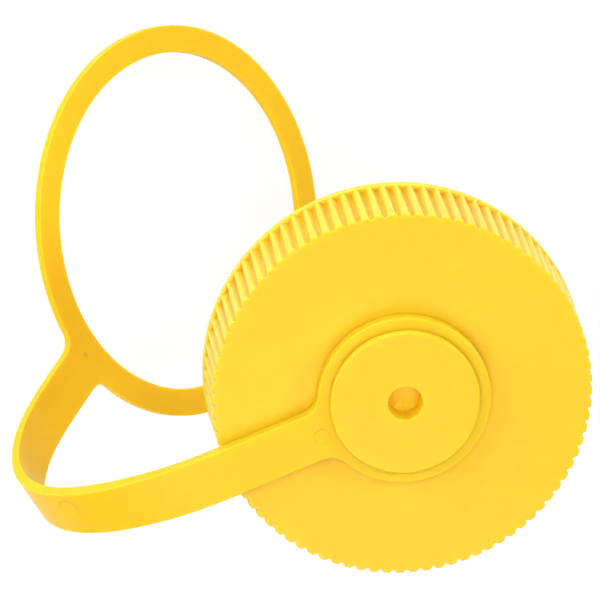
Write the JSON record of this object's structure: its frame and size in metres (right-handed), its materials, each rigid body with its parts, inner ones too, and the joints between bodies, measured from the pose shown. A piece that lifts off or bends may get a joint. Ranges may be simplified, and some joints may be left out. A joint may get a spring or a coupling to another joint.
{
  "type": "tethered screw cap",
  "caption": "Wide-mouth bottle screw cap with a ribbed skirt, kept on its bottle by a moulded strap that swivels on a button and ends in a neck ring.",
  "frame": {"origin": "centre of the skirt's mouth plane, on the cap's axis", "axes": "+Z along the cap's axis, out of its face; the strap leaves the button along -X"},
  "size_m": [0.1063, 0.0947, 0.104],
  "materials": {
    "cap_plastic": "yellow moulded polypropylene, satin gloss",
    "tether_plastic": "yellow moulded polypropylene, satin gloss"
  },
  "bodies": {
    "cap": {"cap": "cap_plastic"},
    "tether": {"tether": "tether_plastic"}
  },
  "joints": [
    {"name": "tether_swivel", "type": "hinge", "parent": "cap", "child": "tether", "pos_m": [0, 0, 0.0187], "axis": [0, 0, 1], "continuous": true}
  ]
}
